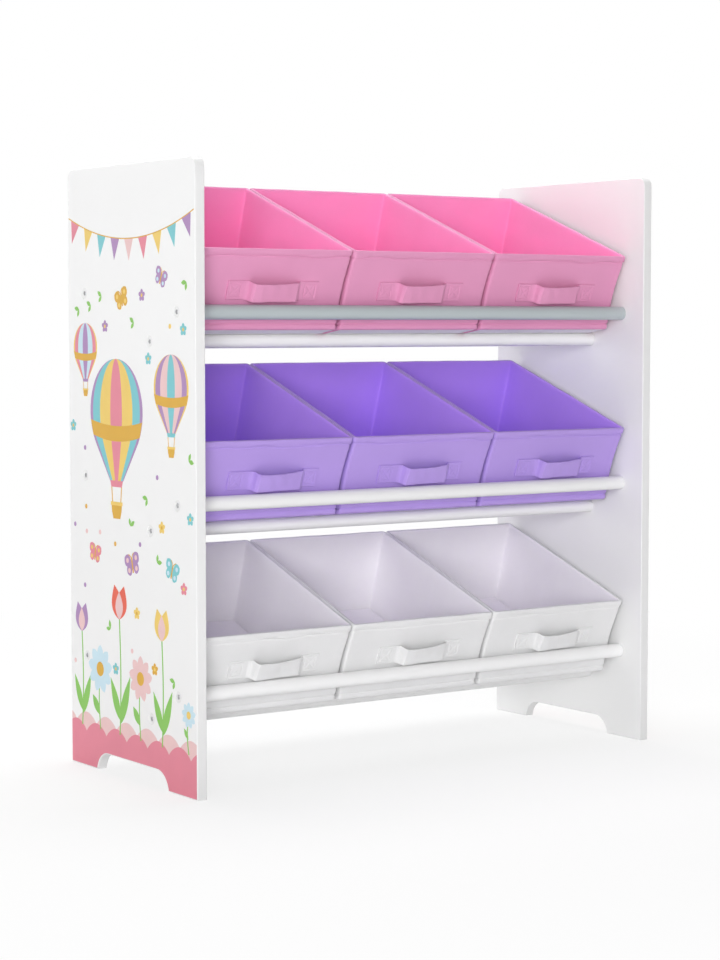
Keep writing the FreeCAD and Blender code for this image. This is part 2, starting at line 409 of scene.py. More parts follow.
def blade(a, z, length, wide, turn, belly=1.0, blunt=1.0):
    # leaf or petal from its root; above 1, belly moves its widest place to the tip
    run = np.linspace(0, 1, 12)
    bulge = wide * np.sin(math.pi * run ** belly).clip(0) ** blunt
    right = pointsOf(bulge, run * length)
    left = pointsOf(-bulge, run * length)[-2:0:-1]
    return turned(np.concatenate([right, left]), turn) + (a, z)


def ribbon(line, wide):
    line = np.array(line, float)
    along = np.gradient(line, axis=0)
    along /= np.linalg.norm(along, axis=1)[:, None]
    beside = pointsOf(-along[:, 1], along[:, 0]) * wide / 2
    return np.concatenate([line + beside, (line - beside)[::-1]])


def stalk(a, low, high, lean, wide):
    run = np.linspace(0, 1, 9)
    return ribbon(pointsOf(a + lean * np.sin(math.pi * run), low + (high - low) * run), wide)


def drawTulip(a, z, size, ink):
    low, high = garden["leafFoot"]
    yield 2, "leaf", stalk(a, garden["stalkFoot"], z + 2, 2.5, 2.2)
    yield 3, "leaf", blade(a + 1, low, 2.6 * size, 0.3 * size, -22, 0.8)
    yield 3.5, "leaf", blade(a + 1, high, 2.2 * size, 0.28 * size, 25, 0.8)
    yield 4, ink, blade(a, z, 1.7 * size, 0.5 * size, -16, 0.85)
    yield 5, ink, blade(a, z, 1.7 * size, 0.5 * size, 16, 0.85)
    yield 6, "blush", blade(a, z, 1.35 * size, 0.36 * size, 0, 0.85)


def drawPetals(layer, ink, a, z, petals, length, wide, belly):
    for petal in range(petals):
        yield layer + 0.5 * (petal % 3), ink, blade(a, z, length, wide, 360 / petals * petal, belly, 0.7)


def drawDaisy(a, z, radius, ink, heart):
    yield 2, "leaf", stalk(a, garden["stalkFoot"], z, -3, 2.0)
    yield 3, "leaf", blade(a - 1, garden["leafFoot"][1], radius, 0.2 * radius, 38)
    yield from drawPetals(4, ink, a, z, 9, radius, 0.24 * radius, 1.5)
    yield 6, heart, oval(a, z, 0.3 * radius, 0.3 * radius)


balloonLook = {  # in radii, and shares of the way from crown to mouth
    "round": 0.72,
    "turn": 128,
    "mouthHalf": 0.24,
    "mouthHigh": -1.317,
    "cuts": (-1, -0.901, -0.624, -0.223, 0.223, 0.624, 0.901, 1),  # across, between the coloured stripes
    "sash": (0.56, 0.66),
    "sashDip": 0.1,
}


def balloonHalf(share):
    # half width and height at a share of the way from crown to mouth, for a radius of 1
    look = balloonLook
    angle = math.radians(look["turn"]) * min(1.0, share / look["round"])
    down = max(0.0, (share - look["round"]) / (1 - look["round"]))
    wide, high = math.sin(angle), math.cos(angle)
    return wide + (look["mouthHalf"] - wide) * down, high + (look["mouthHigh"] - high) * down


def drawBalloon(a, z, radius, inks):
    wide, high = np.transpose([balloonHalf(share) for share in np.linspace(0, 1, 24)])
    cuts = balloonLook["cuts"]
    for stripe in range(7):
        left, right = (pointsOf(wide * cut, high) for cut in cuts[stripe:stripe + 2])
        outline = np.concatenate([left[1:], right[:0:-1], left[:1]])
        yield 2, inks[abs(stripe - 3) % len(inks)], outline * radius + (a, z)
    across = np.linspace(-1, 1, 15)
    dip = balloonLook["sashDip"] * (1 - across ** 2)
    ends = [balloonHalf(share) for share in balloonLook["sash"]]
    upper, lower = (pointsOf(across * half, middle - dip) for half, middle in ends)
    yield 3, "gold", np.concatenate([upper, lower[::-1]]) * radius + (a, z)
    skirt = [(-0.24, -1.3), (0.24, -1.3), (0.2, -1.42), (-0.2, -1.42)]
    yield 4, inks[0], np.array(skirt) * radius + (a, z)
    for side in (-1, 1):
        rope = [(0.19 * side, -1.4), (0.17 * side, -1.58), (0.15 * side, -1.76)]
        yield 3, "gold", ribbon(np.array(rope) * radius + (a, z), max(0.8, 0.03 * radius))
    basket = [(-0.2, -1.72), (0.2, -1.72), (0.18, -1.88), (0.13, -2.02), (-0.13, -2.02), (-0.18, -1.88)]
    yield 4, "gold", np.array(basket) * radius + (a, z)
    rim = [(-0.22, -1.7), (0.22, -1.7), (0.22, -1.77), (-0.22, -1.77)]
    yield 5, "butter", np.array(rim) * radius + (a, z)


def drawButterfly(a, z, size, turn, ink, spot):
    for side in (-1, 1):
        for layer, spread, length, wide in ((2.5, -52, 1.0, 0.36), (2, -118, 0.75, 0.32)):
            lean = side * spread + turn
            yield layer, ink, blade(a, z, size * length, size * wide, lean, 1.5, 0.7)
            out = turned([(0, 0.62 * size * length)], lean)[0]
            yield 3, spot, oval(a + out[0], z + out[1], 0.15 * size, 0.15 * size, 0, 14)
    stem = turned([(0, -0.42 * size), (0, 0), (0, 0.42 * size)], turn) + (a, z)
    yield 4, "gold", ribbon(stem, 0.13 * size)
    for side in (-1, 1):
        feeler = np.array([(0, 0.4), (0.14 * side, 0.6), (0.3 * side, 0.7)]) * size
        yield 3, "gold", ribbon(turned(feeler, turn) + (a, z), 0.06 * size)


def drawBunting(reach, high, sag, flags):
    run = np.linspace(-1, 1, 41)
    line = pointsOf(run * reach, high - sag * (1 - run ** 2))
    yield 3, "gold", ribbon(line, 1.2)
    inks = garden["flagInks"]
    for flag in range(flags):
        share = (flag + 0.5) / flags * 2 - 1
        a, z = share * reach, high - sag * (1 - share ** 2)
        lean = math.degrees(math.atan(2 * sag * share / reach))
        wide, tall = garden["flag"]
        shape = turned([(-wide, 0), (0, -tall), (wide, 0)], lean) + (a, z)
        yield 2, inks[flag % len(inks)], shape


def drawScatter(taken, reach, top):
    draws = random.Random(printLook["seed"])
    placed = 0
    for attempt in range(2000):
        a, z = draws.uniform(-reach, reach), draws.uniform(garden["scatterLow"], top)
        if placed == printLook["scatter"] or any(math.hypot(a - x, z - y) < room for x, y, room in taken):
            continue
        ink = draws.choice(garden["scatterInks"])
        kind = placed % 3
        if kind == 0:
            yield 2, ink, oval(a, z, garden["dot"], garden["dot"], 0, 16)
        elif kind == 1:
            turn = draws.uniform(0, 360)
            for layer, (length, wide, lean) in enumerate(garden["sprig"], 2):
                yield layer, "leaf", blade(a, z, length, wide, turn + lean)
        else:
            length, wide, heart = garden["blossom"]
            yield from drawPetals(2, ink, a, z, 5, length, wide, 1.4)
            yield 4, "butter" if ink != "butter" else "gold", oval(a, z, heart, heart, 0, 12)
        taken.append((a, z, printLook["room"]))
        placed += 1


def faceOutline(side):  # the flat outer face's edge and its screw holes, as loops of points
    mesh = nodes["side_panel_" + side].data
    sign = -1 if side == "left" else 1
    outer = max(sign * vertex.co.x for vertex in mesh.vertices)
    flat = {vertex.index for vertex in mesh.vertices if sign * vertex.co.x > outer - hair}
    uses = {}
    for polygon in mesh.polygons:
        if flat.issuperset(polygon.vertices):
            for edge in polygon.edge_keys:
                uses[edge] = uses.get(edge, 0) + 1
    after = {}
    for (start, end), count in uses.items():
        if count == 1:
            after.setdefault(start, []).append(end)
            after.setdefault(end, []).append(start)
    loops = []
    while after:
        loop = [next(iter(after))]
        while loop[-1] in after:
            ahead = [corner for corner in after.pop(loop[-1]) if corner in after]
            loop += ahead[:1]
            if not ahead:
                break
        loops.append(np.array([(-mesh.vertices[v].co.y / mm, mesh.vertices[v].co.z / mm) for v in loop]))
    return outer, sorted(loops, key=lambda loop: -np.ptp(loop[:, 1]))


def drawGarden(outline, holes):  # layer, ink and outline of every shape
    look = printLook
    reach = outline[:, 0].max()
    for ink, layer, height in garden["band"]:
        above = outline[:, 1] > height
        first = next(place for place in range(len(outline)) if above[place - 1] and not above[place])
        foot = np.roll(outline, -first, axis=0)
        foot = foot[:next((place for place, point in enumerate(foot) if point[1] > height), len(foot))]
        run = np.linspace(foot[-1, 0], foot[0, 0], 12 * garden["scallops"] + 1)
        shift = 0.25 if layer else 0.75
        bumps = np.abs(np.sin(math.pi * ((run / (2 * reach) + 0.5) * garden["scallops"] + shift)))
        hill = pointsOf(run, height + garden["scallopRise"] * bumps ** 0.8)
        yield layer, ink, np.concatenate([foot, hill])
    for kind, draw in (("tulips", drawTulip), ("daisies", drawDaisy), ("balloons", drawBalloon),
                       ("butterflies", drawButterfly)):
        for motif in garden[kind]:
            yield from draw(*motif)
    yield from drawBunting(reach - 1, *garden["bunting"])
    below, around = look["stalkRoom"]
    high, sag, flags = garden["bunting"]
    taken = [(*hole.mean(axis=0), np.ptp(hole[:, 0]) / 2 + look["screwRoom"]) for hole in holes]
    taken += [(a, z + 0.8 * size, size + look["bigRoom"]) for a, z, size, ink in garden["tulips"]]
    taken += [(a, z - below, around) for a, z, *rest in garden["tulips"] + garden["daisies"]]
    taken += [(a, z, size + look["smallRoom"])
              for a, z, size, *rest in garden["daisies"] + garden["butterflies"]]
    taken += [(a, z - drop * size, wide * size + look["bigRoom"]) for a, z, size, inks in garden["balloons"]
              for drop, wide in ((0, 1), (0.8, 0.75), (1.6, 0.5))]
    yield from drawScatter(taken, reach - look["smallRoom"], high - sag - look["flagRoom"])


def makePrint(side):
    sign = -1 if side == "left" else 1
    outer, (outline, *holes) = faceOutline(side)
    inks = list(inkColours)
    points = []
    faces = []
    inkOf = []
    for layer, ink, shape in drawGarden(outline, holes):
        ahead = np.roll(shape, -1, axis=0)
        if np.sum(shape[:, 0] * ahead[:, 1] - ahead[:, 0] * shape[:, 1]) < 0:
            shape = shape[::-1]
        start, count = len(points), len(shape)
        front = sign * (outer + (printLook["proud"] + printLook["layer"] * layer) * mm)
        back = sign * (outer - printLook["sunk"] * mm)
        for x in (front, back):
            points += [(x, -a * mm, z * mm) for a, z in shape]
        made = []
        for corners in tessellate_polygon([[(a, z, 0) for a, z in shape]]):
            (ax, ay), (bx, by), (cx, cy) = (shape[corner] for corner in corners)
            i, j, k = corners if (bx - ax) * (cy - ay) > (cx - ax) * (by - ay) else corners[::-1]
            made += [(i, j, k), (count + k, count + j, count + i)]
        for i in range(count):
            j = (i + 1) % count
            made.append((i, count + i, count + j, j))
        faces += [tuple(start + corner for corner in (face if sign < 0 else face[::-1])) for face in made]
        inkOf += [inks.index(ink)] * len(made)
    makePiece(side + "_panel_print", points, faces, ["ink " + ink for ink in inks], "rack", inkOf=inkOf,
              crease=30)


for side in ("left", "right"):
    makePrint(side)
print("panels printed")


# Bins, built in their own directions: x across, u along the sloping base to the rear and h up from the base
lift = next(joint for joint in frame["joints"] if joint["child"].startswith("bin_"))["axis"]
tilt = math.atan2(-lift[1], lift[2])
binAxes = np.array([[1, 0, 0], [0, math.cos(tilt), math.sin(tilt)], [0, -math.sin(tilt), math.cos(tilt)]])

binLook = {
    "wall": 2.6 * mm,  # skin, board and lining
    "floor": 1.4 * mm,
    "cornerRadius": 3.2 * mm,
    "bottomRadius": 2.4 * mm,
    "insideRadius": 2.0 * mm,
    "frontBow": 3.6 * mm,  # how far the front wall hollows under its hem
    "sideCurve": 2.0,  # above 1 the side walls draw in soonest below the rim
    "bowEnd": 0.95,  # share of the wall's height where the hollow ends
    "bowCurve": 1.4,
    "creaseRound": 2.5 * mm,
    "creaseReach": 20 * mm,
    "ripple": 0.4 * mm,
    "rippleDrift": 3,
    "rippleSpan": (0.04, 0.9),  # part of a half wave that its size follows, from the bottom edge to the rim
    "rimWave": 0.09 * mm,
    "seamHeight": 7.8 * mm,
    "seamDepth": 1.3 * mm,
    "seamWidth": 1.0 * mm,
    "seamWiden": (0.7, 55 * mm),  # by what share, and how far from the middle of the front
    "pinchDepth": 0.9 * mm,  # where the hem's stitches draw the wall in
    "pinchWidth": 1.2 * mm,
    "foldDepth": 0.55 * mm,
    "foldWidth": 1.4 * mm,
    "foldInside": 0.6,  # share of the depth on the lining
    "foldEnds": ((0.06, 0.1), (0.93, 0.05)),  # where it starts and ends up the wall, and over what share
    "rimRound": 0.5 * mm,
    "frontSlack": 0.15 * mm,  # how far the front wall may bulge
    "cornerHold": 14 * mm,  # how far from a corner its cloth is held true
    "columns": 38,
    "rowStep": 6.0 * mm,
    "closeRows": (-4.5, -2.4, -1.1, 0, 1.1, 2.4, 4.5),  # millimetres from the crease and the fold
    "arcSteps": 5,
    "firstSeed": 31,
}
# how each tier's cloth has settled: its rim up, and the lower edge of its front up
settled = {
    "top": (1.5 * mm, 3.0 * mm),
    "middle": (1.0 * mm, 1.5 * mm),
    "bottom": (-3.6 * mm, -5.5 * mm),
}


def binPoints(node):  # a node's corners in the bins' directions
    return np.array([vertex.co for vertex in nodes[node].data.vertices]) @ binAxes.T


def measureBin(tier, column, seed):
    name = "bin_" + tier + "_" + column
    shell = binPoints(name + "_shell")
    hem = binPoints(name + "_binding")
    rimUp, frontUp = settled[tier]
    low = shell.min(axis=0)
    high = shell.max(axis=0)
    base = shell[shell[:, 2] < low[2] + hair]
    rim = shell[shell[:, 2] > high[2] - hair]
    front = shell[shell[:, 1] < low[1] + hair]
    draws = random.Random(seed)

    def phase():
        return draws.uniform(0, 6.28)

    box = {
        "name": name,
        "piece": tier + "_" + column + "_bin",
        "tier": tier,
        "slot": clothNames[tier] + "_fabric",
        "origin": np.array([(low[0] + high[0]) / 2, low[1], low[2]]),
        "height": high[2] - low[2] + rimUp,
        "hemDepth": high[2] - hem[:, 2].min(),
        "strapUp": max(0.0, rimUp),
        "halfRim": np.ptp(rim[:, 0]) / 2,
        "halfBase": np.ptp(base[:, 0]) / 2,
        "rearRim": high[1] - low[1],
        "rearBase": base[:, 1].max() - low[1],
        "crease": base[:, 1].min() - low[1],
        "flap": front[:, 2].min() - low[2] + frontUp,
        # waves in one turn round the bin, for ripples a drift, then phase and size
        "ripples": [(count, draws.uniform(0.5, 2.5), phase(), draws.uniform(0.4, 1) / count ** 0.5)
                    for count in (2, 3, 5, 7, 11)],
        "waves": [(count, phase(), draws.uniform(0.4, 1)) for count in (3, 7, 12, 19)],
        "sags": [(count, phase(), draws.uniform(0.6, 1)) for count in (7, 11, 17)],
    }
    box["fold"] = box["rearBase"] / 2
    box["plan"] = rowPlan(box)
    return box


def rowPlan(box):  # rows across the bin, as shares of its straight side, closest at the crease and the fold
    fine = [mark + step * mm for mark in (box["crease"], box["fold"]) for step in binLook["closeRows"]]
    corner = binLook["cornerRadius"]
    straight = box["rearBase"] - 2 * corner
    count = round(straight / binLook["rowStep"])
    even = [corner + straight * step / count for step in range(1, count)]
    kept = [row for row in even if min(abs(row - mark) for mark in fine) > binLook["rowStep"] / 2]
    return (np.array(sorted(fine + kept)) - corner) / straight


def planRing(shares, half, front, rear, radius):
    # one turn round a rounded rectangle, from its front left, with the direction outward at each point
    bend = np.linspace(0, math.pi / 2, binLook["arcSteps"] + 1)
    back = bend[::-1]
    straight = np.ones(len(shares))
    outX = np.concatenate([np.sin(bend), straight, np.sin(back)])
    outU = np.concatenate([-np.cos(bend), 0 * straight, np.cos(back)])
    x = half - radius + radius * outX
    u = np.concatenate([front + radius - radius * np.cos(bend),
                        front + radius + shares * (rear - front - 2 * radius),
                        rear - radius + radius * np.cos(back)])
    across = np.linspace(-1, 1, binLook["columns"] + 1)
    flat = np.zeros(len(across))

    def ring(ahead, right, behind, mirror):
        return np.concatenate([ahead, right[1:-1], behind, mirror * right[-2:0:-1]])

    return (ring(x[0] * across, x, x[-1] * across[::-1], -1), ring(flat + u[0], u, flat + u[-1], 1),
            ring(flat, outX, flat, -1), ring(flat - 1, outU, flat + 1, 1))


def runningSum(steps):
    return np.concatenate([[0], np.cumsum(steps)])


def runLength(x, u):  # length along a closed ring, up to each of its points
    return runningSum(np.hypot(np.roll(x, -1) - x, np.roll(u, -1) - u))


def turnShares(x, u):  # the share of a turn round a ring, at each of its points
    run = runLength(x, u)
    return run[:-1] / run[-1]


def waveSum(waves, turn):
    return sum(size * np.sin(2 * math.pi * count * turn + phase) for count, phase, size in waves)


def bottomLine(box, u):  # the base is flat from its crease to the rear, and turns up in front of it
    slope = box["flap"] / box["crease"]
    ahead = (box["crease"] - u) * slope
    soft = binLook["creaseRound"] * slope
    turnUp = (ahead + np.sqrt(ahead ** 2 + soft ** 2)) / 2
    return np.where(u < box["crease"] + binLook["creaseReach"], turnUp, 0)


def heightAt(box, u, climb):
    return bottomLine(box, u) * (1 - climb) + climb * box["height"]


def frontHollow(climb):
    share = min(1.0, climb / binLook["bowEnd"])
    return binLook["frontBow"] * math.sin(math.pi * share) ** binLook["bowCurve"]


def softness(box, turn, climb):  # how far the cloth stands off its true wall, by the share of a turn
    low, high = binLook["rippleSpan"]
    total = sum(size * np.sin(2 * math.pi * count * turn + phase + drift * binLook["rippleDrift"] * climb)
                for count, drift, phase, size in box["ripples"])
    return binLook["ripple"] * total * math.sin(math.pi * (low + (high - low) * climb))


def wallRing(box, climb, inset):  # one turn round the wall; climb is 0 at the bottom edge and 1 at the rim
    look = binLook
    draw = (box["halfRim"] - box["halfBase"]) * (1 - climb ** look["sideCurve"])
    half = box["halfRim"] - draw - inset
    front = frontHollow(climb) + inset
    rear = box["rearBase"] + (box["rearRim"] - box["rearBase"]) * climb - inset
    radius = max(look["cornerRadius"] - inset, look["insideRadius"])
    x, u, outX, outU = planRing(box["plan"], half, front, rear, radius)
    turn = turnShares(x, u)
    corner = np.maximum(np.abs(half - np.abs(x)), np.minimum(np.abs(u - front), np.abs(rear - u)))
    off = softness(box, turn, climb) * (1 - np.exp(-(corner / look["cornerHold"]) ** 2))
    off = np.where(outU < -0.5, np.minimum(off, look["frontSlack"]), off)
    inside = inset > look["wall"] / 2
    rise = climb * box["height"]
    if not inside:
        widen, reach = look["seamWiden"]
        width = look["seamWidth"] * (1 + widen * (outU < -0.9) * np.exp(-(x / reach) ** 2))
        off = off - look["seamDepth"] * np.exp(-((rise - look["seamHeight"]) / width) ** 2)
        pinch = rise - box["height"] + box["hemDepth"] - hemSag(box, turn) + 0.5 * look["pinchWidth"]
        off = off - look["pinchDepth"] * np.exp(-(pinch / look["pinchWidth"]) ** 2)
    (start, fadeIn), (end, fadeOut) = look["foldEnds"]
    held = min(1.0, max(0.0, (climb - start) / fadeIn)) * min(1.0, max(0.0, (end - climb) / fadeOut))
    fold = np.abs(outX) * np.exp(-((u - box["fold"]) / look["foldWidth"]) ** 2)
    off = off + (look["foldInside"] if inside else -1.0) * look["foldDepth"] * held * fold
    h = heightAt(box, u, climb) + look["rimWave"] * waveSum(box["waves"], turn) * climb ** 6
    return pointsOf(x + outX * off, u + outU * off, h), pointsOf(outX, outU, 0 * x)


def ringIndex(rows, columns):  # where each point on the edge of a grid stands in a ring
    front = [(0, column) for column in range(columns + 1)]
    right = [(row, columns) for row in range(1, rows)]
    back = [(rows, column) for column in range(columns, -1, -1)]
    left = [(row, 0) for row in range(rows - 1, 0, -1)]
    return {cell: place for place, cell in enumerate(front + right + back + left)}


def girthMarks(outline):  # length round a closed outline, up to each of its corners
    return runningSum([math.dist(a, b) for a, b in zip(outline, outline[1:] + outline[:1])])


def bandFaces(rings, run, levels):  # quads from ring to ring, with their places along and up the cloth
    turn = len(run) - 1
    faces = []
    uvs = []
    for level, (bottom, top) in enumerate(zip(levels, levels[1:])):
        low = level * turn
        high = (level + 1) % rings * turn
        for place in range(turn):
            after = (place + 1) % turn
            left, right = run[place], run[place + 1]
            faces.append((low + place, low + after, high + after, high + place))
            uvs.append(((left, bottom), (right, bottom), (right, top), (left, top)))
    return faces, uvs


def closedStack(rings, capHeights):
    # rings one above another, joined by a wall and closed by a grid across the first and across the last
    turn = len(rings[0])
    columns = binLook["columns"]
    rows = turn // 2 - columns
    points = [point for ring in rings for point in ring]
    run = runLength(*rings[0].T[:2])
    steps = [np.linalg.norm(after - before, axis=1).mean() for before, after in zip(rings, rings[1:])]
    faces, uvs = bandFaces(len(rings), run, runningSum(steps))
    edge = ringIndex(rows, columns)
    for cap, heights in enumerate(capHeights):
        ring = rings[-cap]  # the first, then the last
        start = cap * (len(rings) - 1) * turn
        cell = {}
        for row in range(rows + 1):
            for column in range(columns + 1):
                if (row, column) in edge:
                    cell[row, column] = start + edge[row, column]
                    continue
                share = column / columns
                ends = ring[edge[row, 0]] * (1 - share) + ring[edge[row, columns]] * share
                cell[row, column] = len(points)
                points.append((ends[0], ends[1], heights(ends[0], ends[1])))
        for row in range(rows):
            for column in range(columns):
                corners = [cell[row, column], cell[row, column + 1],
                           cell[row + 1, column + 1], cell[row + 1, column]]
                if cap == 0:
                    corners.reverse()
                faces.append(tuple(corners))
                uvs.append([points[corner][:2] for corner in corners])
    return np.array(points), faces, uvs


def quarterRound(radius):  # rises and insets round a quarter turn, from flat to upright
    angles = [math.pi / 6 * step for step in range(4)]
    return [(radius * (1 - math.cos(angle)), radius * (1 - math.sin(angle))) for angle in angles]


def wallLevels(box):  # climbs and insets, up the outside, over the rim and down the inside
    look = binLook
    height = box["height"]
    outer = quarterRound(look["bottomRadius"])
    seam = [look["seamHeight"] + step * look["seamWidth"] for step in (-3.2, -1.6, -0.8, 0, 0.8, 1.6, 3.2)]
    levels = [(rise / height, inset) for rise, inset in outer]
    levels += [(rise / height, 0.0) for rise in seam if rise > outer[-1][0] + hair]
    pinched = 1 - box["hemDepth"] / height
    levels += [(share, 0.0) for share in np.linspace(0.14, pinched - 5 * mm / height, 12)]
    levels += [(pinched + step * mm / height, 0.0) for step in (-3.6, -2.6, -1.8, -1, -0.3, 0.4, 1.2, 2.6)]
    shoulder = 1 - look["rimRound"] / height
    levels += [(shoulder, 0.0), (1, look["rimRound"]), (1, look["wall"] - look["rimRound"])]
    levels += [(shoulder, look["wall"])]
    levels += [(share, look["wall"]) for share in np.linspace(0.97, 0.06, 17)]
    levels += [((look["floor"] + rise) / height, look["wall"] + inset)
               for rise, inset in quarterRound(look["insideRadius"])[::-1]]
    return levels


def binPiece(box, part, points, faces, cloths, replaced=(), uvs=None, inkOf=None):
    world = (np.asarray(points) + box["origin"]) @ binAxes
    inks = [cloth + " " + box["tier"] for cloth in cloths]
    replaced = [box["name"] + "_" + node for node in replaced]
    makePiece(box["piece"] + "_" + part, world, faces, inks, box["name"], box["slot"], replaced, uvs, inkOf)


def makeShell(box):
    levels = wallLevels(box)
    rings = [wallRing(box, climb, inset)[0] for climb, inset in levels]
    floorClimb = binLook["floor"] / box["height"]
    points, faces, uvs = closedStack(rings, (lambda x, u: heightAt(box, u, 0.0),
                                             lambda x, u: heightAt(box, u, floorClimb)))
    cap = (len(faces) - (len(rings) - 1) * len(rings[0])) // 2
    lined = [inset > binLook["wall"] / 2 for climb, inset in levels[1:]]
    inkOf = np.concatenate([np.repeat(lined, len(rings[0])), 2 * np.ones(cap), np.ones(cap)]).astype(int)
    binPiece(box, "body", points, faces, ("cloth", "lining", "under"), ("shell", "boards"), uvs, inkOf)


# Hem: a tape folded over the rim, its lower line a little wavy outside and flush inside
hemLook = {
    "thickness": 1.0 * mm,
    "lining": 0.1 * mm,
    "sunk": 1.1 * mm,  # how far the tape's hidden side lies inside the wall
    "under": 0.4 * mm,  # and below the rim
    "sag": 0.5 * mm,
    "topRound": 4,
}


def hemSag(box, turn):  # how far the hem's lower line strays, by the share of a turn
    return hemLook["sag"] * waveSum(box["sags"], turn)


def makeHem(box):
    look = hemLook
    wall = binLook["wall"]
    height = box["height"]
    depth = box["hemDepth"]
    face = look["thickness"]
    inner = wall + look["lining"]
    # rises from the rim and insets from the wall's skin
    outline = [(-depth, look["sunk"]), (-depth, -0.5 * face)]
    outline += [(-depth + 0.5 * face, -face), (-depth / 2, -face)]
    for step in range(look["topRound"] + 1):
        angle = math.pi * step / look["topRound"]
        outline.append((face * math.sin(angle), (inner - face) / 2 - (inner + face) / 2 * math.cos(angle)))
    outline += [(-depth / 2, inner), (-depth, inner), (-depth, wall - look["sunk"])]
    outline += [(-look["under"], wall - look["sunk"]), (-look["under"], look["sunk"])]
    rings = []
    for rise, inset in outline:
        ring = wallRing(box, min(1.0, 1 + rise / height), inset)[0]
        ring[:, 2] += max(0.0, rise)
        if rise < -depth / 2 and inset < wall / 2:
            ring[:, 2] += hemSag(box, turnShares(*ring.T[:2]))
        rings.append(ring)
    run = runLength(*rings[0].T[:2])
    faces, uvs = bandFaces(len(rings), run, girthMarks(outline))
    insets = [inset for rise, inset in outline]
    lined = [min(ends) > wall / 2 for ends in zip(insets, insets[1:] + insets[:1])]
    inkOf = np.repeat(lined, len(rings[0])).astype(int)
    binPiece(box, "hem", np.concatenate(rings), faces, ("cloth", "lining"), ("binding",), uvs, inkOf)


# Floor board: a loose cloth-covered board
boardLook = {
    "edgeRound": 0.9 * mm,
    "cornerRadius": 4 * mm,
    "uneven": 0.12 * mm,
    "waves": (61, 47),  # radians in a metre, across and along
    "rows": 30,
}


def makeFloorBoard(box):
    look = boardLook
    board = binPoints(box["name"] + "_base") - box["origin"]
    low = board.min(axis=0)
    high = board.max(axis=0)
    shares = np.linspace(0, 1, look["rows"])[1:-1]
    waveX, waveU = look["waves"]
    edge = quarterRound(look["edgeRound"])
    rims = [(low[2] + rise, inset) for rise, inset in edge]
    rims += [(high[2] - rise, inset) for rise, inset in edge[::-1]]
    rings = []
    for h, inset in rims:
        half, front, rear = high[0] - inset, low[1] + inset, high[1] - inset
        x, u, *outward = planRing(shares, half, front, rear, look["cornerRadius"])
        rings.append(pointsOf(x, u, 0 * x + h))

    def top(x, u):
        return high[2] + look["uneven"] * math.sin(x * waveX + box["waves"][1][1]) * math.sin(u * waveU)

    points, faces, uvs = closedStack(rings, (lambda x, u: low[2], top))
    binPiece(box, "floor_board", points, faces, ("lining",), ("base",), uvs)


# Strap handle: two flat tabs sewn to the front wall and a loop between them
strapLook = {
    "thickness": 1.5 * mm,
    "edgeRound": 0.5 * mm,
    "edgeFlat": 0.3,  # share of the thickness
    # how far the loop's edges stand off the wall, by the distance from the strap's middle, as shares of the
    # loop's reach and of the strap's half length
    "upper": ((-0.64, 0), (-0.57, 0.1), (-0.545, 0.25), (-0.525, 0.86), (-0.512, 0.8), (-0.5, 1.02),
              (-0.32, 1.08), (-0.1, 1.05), (0.1, 0.92), (0.3, 0.7), (0.49, 0.46), (0.53, 0.33),
              (0.55, 0.04), (0.59, 0)),
    "lower": ((-0.64, 0), (-0.57, 0.12), (-0.545, 0.33), (-0.527, 0.66), (-0.514, 0.6), (-0.502, 0.79),
              (-0.32, 0.76), (-0.15, 0.64), (0, 0.585), (0.25, 0.6), (0.48, 0.55), (0.52, 0.42),
              (0.545, 0.08), (0.58, 0)),
    "loopShift": {"top": 0.0, "middle": 0.085, "bottom": 0.05},  # to the right, in half lengths
    "foldRound": 0.4 * mm,
    "crumple": 0.22 * mm,
    "crumpleRun": 2.6 * mm,
    "crumpleLean": 2.4,
    "droop": 0.4 * mm,
    "spread": (1.3 * mm, 0.3 * mm),  # how far the cloth lies below and above the strap's own width
    "marks": 2001,
    "stations": 200,
    "strips": 28,
    "grooveDepth": 0.5 * mm,
    "grooveWidth": 0.7 * mm,
    "boxInset": 3.2 * mm,  # the stitched box on each tab, from its edges
    "boxLength": 13.5 * mm,
}


def softLine(marks, shares, step):  # straight stretches through marks, rounded where they meet
    line = np.interp(shares, *np.transpose(marks))
    spread = strapLook["foldRound"] / step
    reach = round(3 * spread)
    weights = np.exp(-(np.arange(-reach, reach + 1) / spread) ** 2 / 2)
    return np.convolve(np.pad(line, reach, "edge"), weights / weights.sum(), "valid")


def frontSkin(box, x, h):  # where the front wall's cloth stands
    climb = (h - box["flap"]) / (box["height"] - box["flap"])
    half = box["halfRim"] - binLook["cornerRadius"]
    girth = 4 * box["halfRim"] + 2 * box["rearBase"] - 1.7 * binLook["cornerRadius"] * 4
    off = softness(box, (np.asarray(x) + half) / girth, climb)
    return frontHollow(climb) - np.minimum(off, binLook["frontSlack"])


def stitchBox(half, wide):  # a tab's stitched box: middle, half length and half height
    look = strapLook
    return half - look["boxInset"] - look["boxLength"] / 2, look["boxLength"] / 2, wide - look["boxInset"]


def tabGroove(x, across, half, wide):  # how deep the stitching pulls into the strap's tabs
    middle, long, tall = stitchBox(half, wide)
    along = np.abs(x) - middle
    rim = np.abs(np.maximum(np.abs(along) - long, abs(across) - tall))
    cross = np.abs(np.abs(along) * tall - abs(across) * long) / math.hypot(long, tall)
    gap = np.where(np.abs(along) < long, np.minimum(rim, cross), rim)
    return strapLook["grooveDepth"] * np.exp(-(gap / strapLook["grooveWidth"]) ** 2)


